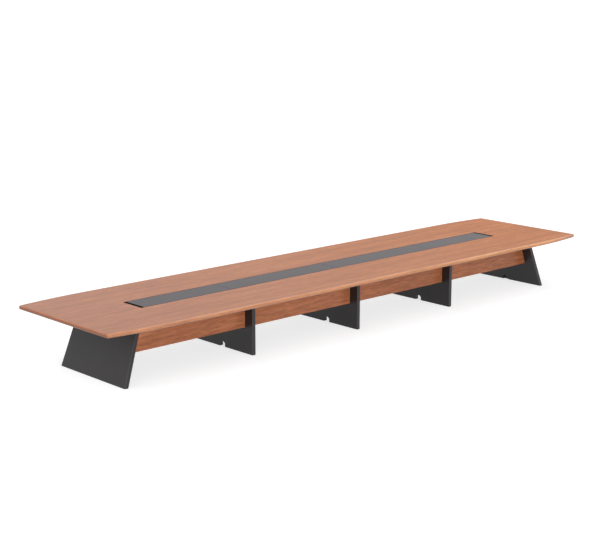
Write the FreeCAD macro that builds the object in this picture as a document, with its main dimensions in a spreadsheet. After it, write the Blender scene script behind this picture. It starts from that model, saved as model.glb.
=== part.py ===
"""Conference table: a long top with curved-in ends on five panel legs, joined by aprons.

The top is ten boards edged with a thicker strip. A cable opening down its middle is closed by four
hinged lids over a sheet-metal trough. Millimetres. The origin is on the floor under the middle of
the table, +X runs along its length, +Y across it to the hinge side of the lids ("far") and +Z up.
"""
import FreeCAD, Part
import os
import re

import Sketcher
from FreeCAD import Matrix, Placement, Rotation, Vector

# Driving sizes in millimetres, and one angle in degrees: name, value, meaning
SIZES = (
    ("table_length", 8256, "end to end"),
    ("table_width", 1900, "side to side at the middle"),
    ("table_height", 750, "floor to top surface"),
    ("side_curve_length", 930, "last stretch of a long side, which curves in to the end"),
    ("side_curve_radius", 6350, "radius of that curve"),
    ("corner_radius", 24, "plan radius of the four corners"),
    ("board_thickness", 25, "top boards"),
    ("end_board_length", 973, "table's end to the cable opening"),
    ("edge_strip_width", 30, "strip round the rim of the top"),
    ("edge_strip_depth", 50, "depth of that strip"),
    ("edge_round", 22, "rounding of its outer face, above and below"),
    ("opening_width", 368, "cable opening, side to side"),
    ("leg_spacing", 1780, "between upright legs, which stand under the seams of the top"),
    ("leg_thickness", 50, "all legs"),
    ("leg_width", 1135, "upright legs, and the leaning legs at the top"),
    ("leg_arris", 5, "rounding of the long edges of the legs"),
    ("end_leg_foot_width", 1264, "leaning legs at the floor"),
    ("end_leg_inset", 389, "table's end to a leaning leg's outer edge on the floor"),
    ("end_leg_lean", 19.3, "lean of the end legs from upright, degrees"),
    ("notch_width", 95, "cable notch in the foot of a leg"),
    ("notch_height", 68, "floor to the crown of the notch"),
    ("notch_rise", 27, "rise of its arched crown"),
    ("end_notch_depth", 25, "blind notch in the inner face of a leaning leg"),
    ("cable_way_width", 300, "cut-out in the top of an upright leg"),
    ("cable_way_depth", 85, "depth of that cut-out"),
    ("apron_height", 400, "apron boards"),
    ("apron_thickness", 25, "apron boards"),
    ("apron_inset", 137.5, "edge of an upright leg to the apron's outer face"),
    ("trough_depth", 100, "cable trough, outside"),
    ("trough_sheet", 2, "its sheet metal"),
    ("trough_flange", 30, "its fixing flanges"),
    ("trough_side_gap", 2, "trough wall to the foot of the lid rail"),
    ("trough_end_margin", 20, "trough past the end of the opening"),
    ("drop_slot_length", 120, "cable slot in the trough floor"),
    ("drop_slot_width", 60, "cable slot in the trough floor"),
    ("rail_ledge", 20, "lid rail inside the opening"),
    ("rail_foot", 26, "lid rail under the board"),
    ("rail_depth", 20, "lid rail below the board"),
    ("lid_thickness", 15, "lids, flush with the top"),
    ("lid_gap", 8, "along both long sides of a lid"),
    ("lid_seam", 4, "between two lids"),
    ("lid_arris", 1, "rounding of the lids' upper edges"),
    ("cable_slot", 50, "open slot at each end of the row of lids"),
    ("hinge_length", 76, "butt hinge"),
    ("hinge_inset", 160, "end of a lid to the middle of its outer hinges"),
    ("leaf_thickness", 2, "hinge leaves"),
    ("leaf_height", 11, "pin to the lower edge of a leaf"),
    ("knuckle_radius", 3, "hinge barrel"),
    ("knuckle_play", 0.4, "between knuckles, and from a knuckle to the other leaf"),
    ("pin_radius", 1.5, "hinge pin"),
    ("pin_play", 0.05, "radial running clearance of the moving knuckle"),
    ("screw_radius", 1.75, "wood screw shank"),
    ("screw_length", 16, "under the head"),
    ("screw_head_radius", 3.2, "wood screw head"),
    ("screw_head_height", 1.4, "wood screw head"),
    ("screw_hole_play", 0.25, "radial clearance of screw holes in metal"),
    ("leaf_screw_drop", 7.3, "pin to the screws of a leaf"),
    ("leaf_screw_spacing", 44, "between the two screws of a leaf"),
    ("dowel_radius", 4, "wood dowels"),
    ("dowel_length", 40, "wood dowels"),
    ("dowel_in_board", 15, "part of a leg dowel that is in the top"),
    ("leg_dowel_inset", 80, "edge of a leg's top to its dowels"),
    ("leg_dowel_offset", 12, "middle of an upright leg to its dowels"),
    ("seam_dowel_inner", 120, "opening to the inner dowel of a seam"),
    ("seam_dowel_outer", 170, "rim strip to the outer dowel of a seam"),
    ("bracket_leg", 40, "each leg of an angle bracket"),
    ("bracket_width", 30, "angle bracket"),
    ("bracket_sheet", 3, "angle bracket and seam plate"),
    ("bracket_hole", 26, "corner of a bracket to its holes"),
    ("bracket_end_inset", 60, "top or bottom of an apron to a corner bracket's middle"),
    ("apron_bracket_inset", 450, "end of an apron to the brackets under the top"),
    ("leg_bracket_inset", 75, "inner face of an apron to a leg's bracket under the top"),
    ("plate_length", 120, "seam plate, across the seam"),
    ("plate_width", 40, "seam plate, along the seam"),
    ("plate_hole_inset", 12, "edge of a seam plate to its holes"),
    ("plate_outer_offset", 180, "outer face of an apron to the outer seam plate"),
    ("flange_screw_inset", 120, "end of a trough to its first screws"),
    ("foot_pad_radius", 16, "levelling foot"),
    ("foot_pad_height", 9, "levelling foot"),
    ("foot_floor_gap", 0.5, "floor to a foot that is screwed right in"),
    ("foot_recess_play", 2, "radial room round the foot's pad"),
    ("foot_inset", 120, "edge of a leg to the middle of a foot"),
    ("stud_radius", 5, "stud of a foot"),
    ("stud_length", 40, "stud of a foot"),
    ("stud_play", 0.05, "radial clearance of the stud in its insert"),
    ("stud_hole_play", 0.5, "radial room round the stud above its insert"),
    ("stud_hole_spare", 3, "depth of the stud's hole past its tip"),
    ("insert_radius", 7, "insert that takes the stud"),
    ("insert_length", 25, "insert that takes the stud"),
)
NAMES = {name for name, _, _ in SIZES}

# Places worked out from the sizes, as formulas for the far side and the right end
UNDER = "(table_height - board_thickness)"
END = "(table_length / 2)"
SIDE = "(table_width / 2)"
BOARD_END = f"({END} - edge_strip_width)"
BOARD_SIDE = f"({SIDE} - edge_strip_width)"
OPENING_END = f"({END} - end_board_length)"
OPENING_SIDE = "(opening_width / 2)"
CURVE_X = f"({END} - side_curve_length)"
CURVE_Y = f"({SIDE} - side_curve_radius)"
CORNER_REACH = "(side_curve_radius - corner_radius)"
CORNER_X = f"({END} - corner_radius)"
CORNER_Y = f"({CURVE_Y} + sqrt({CORNER_REACH} ^ 2 - (side_curve_length - corner_radius) ^ 2))"
TANGENT_X = f"({CURVE_X} + ({CORNER_X} - {CURVE_X}) * side_curve_radius / {CORNER_REACH})"
TANGENT_Y = f"({CURVE_Y} + ({CORNER_Y} - {CURVE_Y}) * side_curve_radius / {CORNER_REACH})"
HALF_LEG = "(leg_thickness / 2)"
LEAN = "(end_leg_lean * 1 deg)"
FOOT_OUT = f"({END} - end_leg_inset)"
LEAN_FLAT = f"(leg_thickness / cos({LEAN}))"
LEAN_FOOT_X = f"({FOOT_OUT} - {LEAN_FLAT} / 2)"
APRON_OUT = "(leg_width / 2 - apron_inset)"
APRON_IN = f"({APRON_OUT} - apron_thickness)"
APRON_FOOT = f"({UNDER} - apron_height)"
TROUGH_IN = f"({OPENING_SIDE} + rail_foot + trough_side_gap)"
TROUGH_OUT = f"({TROUGH_IN} + trough_sheet)"
TROUGH_END = f"({OPENING_END} + trough_end_margin)"
TROUGH_FLOOR = f"({UNDER} - trough_depth)"
LID_FOOT = "(table_height - lid_thickness)"
LID_END = f"({OPENING_END} - cable_slot)"
LID_SIDE = f"({OPENING_SIDE} - lid_gap)"
HINGE_Y = f"({OPENING_SIDE} - lid_gap / 2)"
HINGE_Z = "(table_height - knuckle_radius)"
PAD_TOP = "(foot_floor_gap + foot_pad_height)"

SIDES = (("near", -1), ("far", 1))
ENDS = (("left", -1), ("right", 1))
BAYS = (1, 2, 3, 4)
UPRIGHT_LEGS = (("left_mid", "-leg_spacing"), ("centre", "0"), ("right_mid", "leg_spacing"))

doc = FreeCAD.newDocument("conference_table")
sheet = doc.addObject("Spreadsheet::Sheet", "sizes")
nodes = []
pockets = []


def fill_sheet():
    """Write the driving sizes into the spreadsheet, each with its alias and meaning."""
    for row, (name, number, meaning) in enumerate(SIZES, 1):
        sheet.set(f"A{row}", name)
        sheet.set(f"B{row}", str(number))
        sheet.setAlias(f"B{row}", name)
        sheet.set(f"C{row}", meaning)
    doc.recompute()


def formula(text):
    """Expression text with every size name pointed at its cell."""
    return re.sub(r"[a-z_]+", lambda word: f"sizes.{word[0]}" if word[0] in NAMES else word[0], str(text))


def value(text):
    """Number that a formula gives now."""
    return float(sheet.evalExpression(formula(text)))


def signed(sign, text):
    """Formula mirrored to the near side or the left end where sign is -1."""
    return text if sign > 0 else f"(-{text})"


def side_at(x, inset):
    """Distance from the middle of the table to a long side, or to a line inset from it, at an x."""
    if value(x) <= value(CURVE_X):
        return f"({SIDE} - {inset})"
    return f"({CURVE_Y} + sqrt((side_curve_radius - {inset}) ^ 2 - ({x} - {CURVE_X}) ^ 2))"


def side_run(start, end, inset, along, across):
    """Outline corners from start up to end along a long side, curved past the curve's start; along and
    across are the signs of the table's end and side."""
    knots = [start, end]
    if min(value(start), value(end)) < value(CURVE_X) < max(value(start), value(end)):
        knots.insert(1, CURVE_X)
    arc = (signed(along, CURVE_X), signed(across, CURVE_Y), f"(side_curve_radius - {inset})")
    corners = []
    for here, there in zip(knots, knots[1:]):
        corner = (signed(along, here), signed(across, side_at(here, inset)))
        curved = max(value(here), value(there)) > value(CURVE_X)
        corners.append((*corner, arc) if curved else corner)
    return corners


def lean_inner(height):
    """Distance from the middle of the table to a leaning leg's inner face at a height."""
    return f"({FOOT_OUT} - {LEAN_FLAT} - tan({LEAN}) * {height})"


def lean_outer(height):
    """Distance from the middle of the table to a leaning leg's outer face at a height."""
    return f"({FOOT_OUT} - tan({LEAN}) * {height})"


def keep(label, part):
    """Give a finished piece its name and keep it for export."""
    part.Label = label
    nodes.append(part)
    return part


# Sketches and features of bodies

def new_body(label):
    """Empty body; its Name may differ from the label."""
    body = doc.addObject("PartDesign::Body", label)
    body.Label = label
    return body


def new_sketch(body, role, offset="0"):
    """Sketch on one of the body's own origin planes, moved along its normal by a formula."""
    sketch = body.newObject("Sketcher::SketchObject", f"{body.Name}_sketch")
    plane = [feature for feature in body.Origin.OriginFeatures if feature.Role == role][0]
    sketch.AttachmentSupport = [(plane, "")]
    sketch.MapMode = "FlatFace"
    sketch.setExpression("AttachmentOffset.Base.z", formula(offset))
    return sketch


def bind_constraints(sketch, bound):
    """Add (constraint, formula) pairs; a formula of None leaves a plain geometric constraint."""
    numbers = sketch.addConstraint([constraint for constraint, _ in bound])
    for number, (_, text) in zip(numbers, bound):
        if text is not None:
            sketch.setExpression(f"Constraints[{number}]", formula(text))


def end_at(sketch, edge, point):
    """Which end of a sketch edge lies at a point: 1 for its start, 2 for its end."""
    return 1 if sketch.getPoint(edge, 1).distanceToPoint(point) < 1e-6 else 2


def draw_outline(sketch, outline):
    """Closed outline of (x, y) corners; a corner with (centre x, centre y, radius) starts an arc."""
    corners = [Vector(value(corner[0]), value(corner[1]), 0) for corner in outline]
    bound = []
    for index, corner in enumerate(outline):
        start, end = corners[index], corners[(index + 1) % len(corners)]
        edge = Part.LineSegment(start, end)
        if len(corner) > 2:
            centre = Vector(value(corner[2][0]), value(corner[2][1]), 0)
            bulge = ((start + end) * 0.5 - centre).normalize()
            edge = Part.Arc(start, centre + bulge * value(corner[2][2]), end)
        sketch.addGeometry(edge, False)
    for index, corner in enumerate(outline):
        before = (index - 1) % len(outline)
        here = end_at(sketch, index, corners[index])
        joint = end_at(sketch, before, corners[index])
        bound.append((Sketcher.Constraint("Coincident", before, joint, index, here), None))
        bound.append((Sketcher.Constraint("DistanceX", -1, 1, index, here, corners[index].x), corner[0]))
        bound.append((Sketcher.Constraint("DistanceY", -1, 1, index, here, corners[index].y), corner[1]))
        if len(corner) > 2:
            bound.append((Sketcher.Constraint("Radius", index, value(corner[2][2])), corner[2][2]))
    bind_constraints(sketch, bound)
    return sketch


def draw_circles(sketch, centres, radius):
    """Circles of one radius round (x, y) centres."""
    bound = []
    for index, (x, y) in enumerate(centres):
        middle = Vector(value(x), value(y), 0)
        sketch.addGeometry(Part.Circle(middle, Vector(0, 0, 1), value(radius)), False)
        bound.append((Sketcher.Constraint("DistanceX", -1, 1, index, 3, middle.x), x))
        bound.append((Sketcher.Constraint("DistanceY", -1, 1, index, 3, middle.y), y))
        bound.append((Sketcher.Constraint("Radius", index, value(radius)), radius))
    bind_constraints(sketch, bound)
    return sketch


def rectangle(x_low, x_high, y_low, y_high):
    """Outline of a rectangle."""
    return [(x_low, y_low), (x_high, y_low), (x_high, y_high), (x_low, y_high)]


def extrude(body, sketch, length, reverse=False, symmetric=False):
    """Pad of a sketch along its normal."""
    pad = body.newObject("PartDesign::Pad", f"{body.Name}_pad")
    pad.Profile = sketch
    pad.setExpression("Length", formula(length))
    pad.Reversed = reverse
    pad.SideType = "Symmetric" if symmetric else "One side"
    doc.recompute()
    return pad


def cut(body, sketch, depth, reverse=False, symmetric=False):
    """Pocket of a sketch against its normal; the volume that it takes is checked at the end."""
    base = body.Tip
    pocket = body.newObject("PartDesign::Pocket", f"{body.Name}_pocket")
    pocket.Profile = sketch
    pocket.setExpression("Length", formula(depth))
    pocket.Reversed = reverse
    pocket.SideType = "Symmetric" if symmetric else "One side"
    doc.recompute()
    pockets.append((base, pocket))
    return pocket


def ease(body, radius, wanted):
    """Fillet on the edges of the body's tip that the test picks out."""
    base = body.Tip
    names = [f"Edge{number}" for number, edge in enumerate(base.Shape.Edges, 1) if wanted(edge)]
    fillet = body.newObject("PartDesign::Fillet", f"{body.Name}_fillet")
    fillet.Base = (base, names)
    fillet.setExpression("Radius", formula(radius))
    doc.recompute()
    return fillet


def middle_of(edge):
    """Point half way along an edge."""
    return edge.valueAt((edge.FirstParameter + edge.LastParameter) / 2)


# Part primitives

def place(part, x, y, z):
    """Bind a primitive's position to formulas."""
    for axis, text in zip("xyz", (x, y, z)):
        part.setExpression(f"Placement.Base.{axis}", formula(text))
    return part


def box(name, x, y, z):
    """Box between (low, high) formulas along each axis."""
    part = doc.addObject("Part::Box", name)
    for size, (low, high) in zip(("Length", "Width", "Height"), (x, y, z)):
        part.setExpression(size, formula(f"{high} - ({low})"))
    return place(part, x[0], y[0], z[0])


def cylinder(name, radius, length, x="0", y="0", z="0", along_x=False):
    """Cylinder that starts at a point and runs up, or along +X."""
    part = doc.addObject("Part::Cylinder", name)
    part.setExpression("Radius", formula(radius))
    part.setExpression("Height", formula(length))
    if along_x:
        part.Placement = Placement(Vector(), Rotation(Vector(0, 1, 0), 90))
    return place(part, x, y, z)


def fuse(name, parts):
    """One solid from several primitives."""
    part = doc.addObject("Part::MultiFuse", name)
    part.Shapes = parts
    part.Refine = True
    return part


def drill(name, base, tools):
    """Base with tools taken out of it."""
    part = doc.addObject("Part::Cut", name)
    part.Base = base
    part.Tool = tools[0] if len(tools) == 1 else fuse(f"{name}_tools", tools)
    doc.recompute()
    return part


def frame_at(origin, x_axis, y_axis):
    """Placement with the given origin and directions of X and Y."""
    z_axis = x_axis.cross(y_axis)
    turn = Matrix(x_axis.x, y_axis.x, z_axis.x, 0, x_axis.y, y_axis.y, z_axis.y, 0,
                  x_axis.z, y_axis.z, z_axis.z, 0, 0, 0, 0, 1)
    return Placement(origin, Placement(turn).Rotation)


def copies(label, sets):
    """One node of separate solids: copies of each master at its list of placements."""
    solids = []
    for master, spots in sets:
        solids += [master.Shape.copy().transformed(spot.toMatrix(), True) for spot in spots]
    group = doc.addObject("Part::Feature", label)
    group.Shape = Part.makeCompound(solids)
    return keep(label, group)


def group_bodies(label, bodies):
    """One node of separate bodies."""
    group = doc.addObject("Part::Compound", label)
    group.Links = bodies
    doc.recompute()
    return keep(label, group)


# Spans along X, from the left bay to the right one

def spans(reach, clear):
    """(start, end) of the four bays, cut at the upright legs with a clearance on each side."""
    return [(f"(-{reach})", f"(-leg_spacing - {clear})"), (f"(-leg_spacing + {clear})", f"(-{clear})"),
            (f"({clear})", f"(leg_spacing - {clear})"), (f"(leg_spacing + {clear})", reach)]


BOARD_SPANS = spans(OPENING_END, "0")
# Bay, sign of the table's half that it is in, and its start and end in that half
HALF_BAYS = ((1, -1, "leg_spacing", OPENING_END), (2, -1, "0", "leg_spacing"),
             (3, 1, "0", "leg_spacing"), (4, 1, "leg_spacing", OPENING_END))
TROUGH_SPANS = spans(TROUGH_END, HALF_LEG)
RAIL_SPANS = spans(LID_END, HALF_LEG)
LID_SPANS = spans(LID_END, "lid_seam / 2")


# Top

def top_boards():
    """Eight side boards along the opening and an end board past each end of it."""
    for side, across in SIDES:
        for bay, along, start, end in HALF_BAYS:
            body = keep(f"{side}_top_board_{bay}", new_body(f"{side}_top_board_{bay}"))
            inner = signed(across, OPENING_SIDE)
            outline = side_run(start, end, "edge_strip_width", along, across)
            outline += [(signed(along, end), signed(across, side_at(end, "edge_strip_width"))),
                        (signed(along, end), inner), (signed(along, start), inner)]
            extrude(body, draw_outline(new_sketch(body, "XY_Plane", UNDER), outline), "board_thickness")
    for end, along in ENDS:
        body = keep(f"{end}_end_top_board", new_body(f"{end}_end_top_board"))
        outline = inner_rim(along)
        extrude(body, draw_outline(new_sketch(body, "XY_Plane", UNDER), outline), "board_thickness")


def inner_rim(along):
    """Outline of an end board, from the far end of its seam round to the near one."""
    seam = signed(along, OPENING_END)
    outline = side_run(OPENING_END, BOARD_END, "edge_strip_width", along, 1)
    outline.append((signed(along, BOARD_END), side_at(BOARD_END, "edge_strip_width")))
    outline += side_run(BOARD_END, OPENING_END, "edge_strip_width", along, -1)
    outline.append((seam, signed(-1, side_at(OPENING_END, "edge_strip_width"))))
    return outline


def profile_strip(body, outline, rim):
    """Rim strip from its plan outline; the first rim edges of the outline are the outer ones."""
    sketch = draw_outline(new_sketch(body, "XY_Plane", "table_height - edge_strip_depth"), outline)
    extrude(body, sketch, "edge_strip_depth")
    rim_middles = [middle_of(edge.toShape()) for edge in sketch.Geometry[:rim]]

    def on_rim(edge):
        point = middle_of(edge)
        flat = Vector(point.x, point.y, 0)
        near = any(flat.distanceToPoint(middle) < 0.01 for middle in rim_middles)
        return near and edge.BoundBox.ZLength < 0.01

    ease(body, "edge_round", on_rim)
    return body


def edge_strips():
    """Thicker strip round the rim: four lengths on each side, and one that goes round each end."""
    for side, across in SIDES:
        lengths = []
        for bay, along, start, end in HALF_BAYS:
            outer = side_run(start, end, "0", along, across)
            outline = outer + [(signed(along, end), signed(across, side_at(end, "0")))]
            outline += side_run(end, start, "edge_strip_width", along, across)
            outline.append((signed(along, start), signed(across, side_at(start, "edge_strip_width"))))
            lengths.append(profile_strip(new_body(f"{side}_edge_length_{bay}"), outline, len(outer)))
        group_bodies(f"{side}_edge_strips", lengths)
    for end, along in ENDS:
        seam, corner, tangent, tip = (signed(along, x) for x in (OPENING_END, CORNER_X, TANGENT_X, END))
        outer = side_run(OPENING_END, TANGENT_X, "0", along, -1)
        outer += [(tangent, f"(-{TANGENT_Y})", (corner, f"(-{CORNER_Y})", "corner_radius")),
                  (tip, f"(-{CORNER_Y})"),
                  (tip, CORNER_Y, (corner, CORNER_Y, "corner_radius"))]
        outer += side_run(TANGENT_X, OPENING_END, "0", along, 1)
        outline = outer + [(seam, side_at(OPENING_END, "0"))] + inner_rim(along)
        body = new_body(f"{end}_end_edge_strip")
        keep(f"{end}_end_edge_strip", profile_strip(body, outline, len(outer)))


# Legs and aprons

def notch_outline():
    """Arched cable notch across a leg's foot, drawn from below the floor."""
    half = "(notch_width / 2)"
    spring = "(notch_height - notch_rise)"
    radius = f"(({half} ^ 2 + notch_rise ^ 2) / (2 * notch_rise))"
    arc = ("0", f"(notch_height - {radius})", radius)
    return [(f"(-{half})", "(-leg_thickness)"), (half, "(-leg_thickness)"), (half, spring, arc),
            (f"(-{half})", spring)]


def is_leg_arris(edge):
    """Whether an edge runs the whole height of a leg."""
    return edge.BoundBox.ZLength > value(UNDER) - 1


def foot_holes(body, x, y):
    """Recess, insert hole and stud hole for a levelling foot at each end of a leg's foot."""
    centres = [(x, f"(-{y})"), (x, y)]
    for radius, depth in (("foot_pad_radius + foot_recess_play", PAD_TOP),
                          ("insert_radius", f"{PAD_TOP} + insert_length"),
                          ("stud_radius + stud_hole_play", f"{PAD_TOP} + stud_length + stud_hole_spare")):
        cut(body, draw_circles(new_sketch(body, "XY_Plane"), centres, radius), depth, reverse=True)


def upright_legs():
    """Three upright panels with a cable way cut in the top and a notch right through the foot."""
    half, way = "(leg_width / 2)", "(cable_way_width / 2)"
    way_foot = f"({UNDER} - cable_way_depth)"
    outline = [(f"(-{half})", "0"), (half, "0"), (half, UNDER), (way, UNDER), (way, way_foot),
               (f"(-{way})", way_foot), (f"(-{way})", UNDER), (f"(-{half})", UNDER)]
    for name, x in UPRIGHT_LEGS:
        body = keep(f"{name}_leg", new_body(f"{name}_leg"))
        extrude(body, draw_outline(new_sketch(body, "YZ_Plane", x), outline), "leg_thickness", symmetric=True)
        ease(body, "leg_arris", is_leg_arris)
        cut(body, draw_outline(new_sketch(body, "YZ_Plane", x), notch_outline()), "leg_thickness * 2",
            symmetric=True)
        foot_holes(body, x, "(leg_width / 2 - foot_inset)")


def leaning_legs():
    """Two end panels that lean in towards the top, wider at the floor, with a blind inner notch."""
    foot, top = "(end_leg_foot_width / 2)", "(leg_width / 2)"
    face = [(f"(-{foot})", "0"), (foot, "0"), (top, UNDER), (f"(-{top})", UNDER)]
    through = "end_leg_foot_width + leg_width"
    for end, sign in ENDS:
        body = keep(f"{end}_end_leg", new_body(f"{end}_end_leg"))
        in_foot, in_top = (signed(sign, lean_inner(height)) for height in ("0", UNDER))
        out_foot, out_top = (signed(sign, lean_outer(height)) for height in ("0", UNDER))
        sketch = draw_outline(new_sketch(body, "YZ_Plane", in_top), face)
        extrude(body, sketch, f"{lean_outer('0')} - {lean_inner(UNDER)}", reverse=sign < 0)
        for wedge in ([(out_foot, "0"), (out_foot, UNDER), (out_top, UNDER)],
                      [(in_foot, "0"), (in_top, UNDER), (in_top, "0")]):
            cut(body, draw_outline(new_sketch(body, "XZ_Plane"), wedge), through, symmetric=True)
        ease(body, "leg_arris", is_leg_arris)
        sketch = new_sketch(body, "YZ_Plane", in_foot)
        sketch.AttachmentOffset = Placement(sketch.AttachmentOffset.Base, Rotation(Vector(1, 0, 0), 1))
        sketch.setExpression("AttachmentOffset.Rotation.Angle", formula(signed(-sign, LEAN)))
        cut(body, draw_outline(sketch, notch_outline()), "end_notch_depth", reverse=sign > 0)
        foot_holes(body, signed(sign, LEAN_FOOT_X), "(end_leg_foot_width / 2 - foot_inset)")


def aprons():
    """Board under each side of each bay, from leg to leg; the outer ones end along a leaning leg."""
    upright = f"(leg_spacing + {HALF_LEG})"
    slanted = [(upright, APRON_FOOT), (lean_inner(APRON_FOOT), APRON_FOOT), (lean_inner(UNDER), UNDER),
               (upright, UNDER)]
    outlines = [[(f"(-{x})", z) for x, z in slanted]]
    outlines += [rectangle(start, end, APRON_FOOT, UNDER) for start, end in TROUGH_SPANS[1:3]]
    outlines += [slanted]
    for side, sign in SIDES:
        for bay, outline in zip(BAYS, outlines):
            body = keep(f"{side}_apron_{bay}", new_body(f"{side}_apron_{bay}"))
            sketch = draw_outline(new_sketch(body, "XZ_Plane", signed(-sign, APRON_OUT)), outline)
            extrude(body, sketch, "apron_thickness", reverse=sign < 0)


# Cable trough, rails and lids

def troughs():
    """Sheet-metal channel under the opening in each bay; the outer ones have an end wall."""
    flange, below = f"({TROUGH_OUT} + trough_flange)", f"({UNDER} - trough_sheet)"
    floor = f"({TROUGH_FLOOR} + trough_sheet)"
    half = [(flange, below), (flange, UNDER), (TROUGH_IN, UNDER), (TROUGH_IN, floor)]
    under = [(TROUGH_OUT, TROUGH_FLOOR), (TROUGH_OUT, below)]
    outline = [(f"(-{y})", z) for y, z in reversed(under)] + under + half
    outline += [(f"(-{y})", z) for y, z in reversed(half)]
    slot_x, slot_y = "(drop_slot_length / 2)", "(drop_slot_width / 2)"
    for bay, (start, end) in zip(BAYS, TROUGH_SPANS):
        body = keep(f"cable_trough_{bay}", new_body(f"cable_trough_{bay}"))
        sketch = draw_outline(new_sketch(body, "YZ_Plane", start), outline)
        extrude(body, sketch, f"{end} - {start}")
        if bay in (BAYS[0], BAYS[-1]):
            wall = rectangle(f"(-{TROUGH_IN})", TROUGH_IN, floor, UNDER)
            wall_x = start if bay == BAYS[0] else end
            sketch = draw_outline(new_sketch(body, "YZ_Plane", wall_x), wall)
            extrude(body, sketch, "trough_sheet", reverse=bay == BAYS[-1])
        middle = f"(({start} + {end}) / 2)"
        slot = rectangle(f"({middle} - {slot_x})", f"({middle} + {slot_x})", f"(-{slot_y})", slot_y)
        cut(body, draw_outline(new_sketch(body, "XY_Plane", floor), slot), "trough_sheet * 2")


def lid_rails():
    """Rebated rail under the near side of the opening in each bay, which the lids rest on."""
    inner, foot = f"(rail_ledge - {OPENING_SIDE})", f"(-{OPENING_SIDE} - rail_foot)"
    wall, rail_bottom = f"(-{OPENING_SIDE})", f"({UNDER} - rail_depth)"
    outline = [(foot, rail_bottom), (inner, rail_bottom), (inner, LID_FOOT), (wall, LID_FOOT),
               (wall, UNDER), (foot, UNDER)]
    rails = []
    for bay, (start, end) in zip(BAYS, RAIL_SPANS):
        body = new_body(f"lid_rail_{bay}")
        extrude(body, draw_outline(new_sketch(body, "YZ_Plane", start), outline), f"{end} - {start}")
        rails.append(body)
    group_bodies("lid_rest_rails", rails)


def lids():
    """Lid over each bay of the opening, flush with the top."""
    for bay, (start, end) in zip(BAYS, LID_SPANS):
        body = keep(f"cable_lid_{bay}", new_body(f"cable_lid_{bay}"))
        sketch = new_sketch(body, "XY_Plane", LID_FOOT)
        draw_outline(sketch, rectangle(start, end, f"(-{LID_SIDE})", LID_SIDE))
        extrude(body, sketch, "lid_thickness")
        ease(body, "lid_arris", lambda edge: edge.BoundBox.ZMin > value("table_height") - 0.01)


def hinge_leaf(name, sign, knuckles, bore):
    """Leaf with its knuckles, drawn round a pin on the X axis; sign says which side it lies on."""
    face, back = "(lid_gap / 2 - leaf_thickness)", "(lid_gap / 2)"
    across = (face, back) if sign > 0 else (f"(-{back})", f"(-{face})")
    half = "(hinge_length / 2)"
    clear = "(-knuckle_radius - knuckle_play)"
    solids = [box(f"{name}_plate", (f"(-{half})", half), across, ("(-leaf_height)", clear))]
    for number, (start, end) in enumerate(knuckles, 1):
        solids.append(box(f"{name}_tab_{number}", (start, end), across, (clear, "0")))
        solids.append(cylinder(f"{name}_knuckle_{number}", "knuckle_radius", f"{end} - ({start})", start,
                               along_x=True))
    hole = cylinder(f"{name}_bore", bore, "hinge_length", f"(-{half})", along_x=True)
    tools = [hole]
    for number, place_x in enumerate(("(-leaf_screw_spacing / 2)", "(leaf_screw_spacing / 2)"), 1):
        tool = cylinder(f"{name}_screw_hole_{number}", "screw_radius + screw_hole_play", "lid_gap")
        tool.Placement = Placement(Vector(), Rotation(Vector(1, 0, 0), -90))
        tools.append(place(tool, place_x, "(-lid_gap / 2)", "(-leaf_screw_drop)"))
    return drill(name, fuse(f"{name}_blank", solids), tools)


def wood_screw():
    """Screw with its head's seat at the origin and its shank down -Z."""
    shank = cylinder("screw_shank", "screw_radius", "screw_length", z="(-screw_length)")
    return fuse("wood_screw", [shank, cylinder("screw_head", "screw_head_radius", "screw_head_height")])


def screw_at(point, direction):
    """Placement of a screw whose head sits at a point and which is driven in a direction."""
    return Placement(point, Rotation(Vector(0, 0, -1), direction))


def hinge_spots(start, end):
    """Middles of the three hinges of a lid."""
    places = (f"{start} + hinge_inset", f"({start} + {end}) / 2", f"{end} - hinge_inset")
    return [Vector(value(x), value(HINGE_Y), value(HINGE_Z)) for x in places]


def leaf_screws(spot, sign):
    """Screws of one leaf, driven away from the pin into the board or the lid."""
    seat = value("lid_gap / 2 - leaf_thickness")
    return [screw_at(spot + Vector(step * value("leaf_screw_spacing / 2"), sign * seat,
                                   -value("leaf_screw_drop")), Vector(0, sign, 0)) for step in (-1, 1)]


def hinges(screw):
    """Three butt hinges to a lid; returns the screws of the fixed leaves."""
    quarter, half = "(hinge_length / 4)", "(hinge_length / 2)"
    middle = f"({quarter} - knuckle_play)"
    fixed = hinge_leaf("fixed_leaf", 1, [(f"(-{half})", f"(-{quarter})"), (quarter, half)], "pin_radius")
    moving = hinge_leaf("moving_leaf", -1, [(f"(-{middle})", middle)], "pin_radius + pin_play")
    pin = cylinder("hinge_pin", "pin_radius", "hinge_length", f"(-{half})", along_x=True)
    doc.recompute()
    every_spot = []
    for bay, span in zip(BAYS, LID_SPANS):
        spots = hinge_spots(*span)
        every_spot += spots
        screws = [one for spot in spots for one in leaf_screws(spot, -1)]
        copies(f"lid_hinge_leaves_{bay}", [(moving, [Placement(spot, Rotation()) for spot in spots]),
                                           (screw, screws)])
    placements = [Placement(spot, Rotation()) for spot in every_spot]
    copies("fixed_hinge_leaves", [(fixed, placements)])
    copies("hinge_pins", [(pin, placements)])
    return [one for spot in every_spot for one in leaf_screws(spot, 1)]


# Levelling feet

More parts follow.
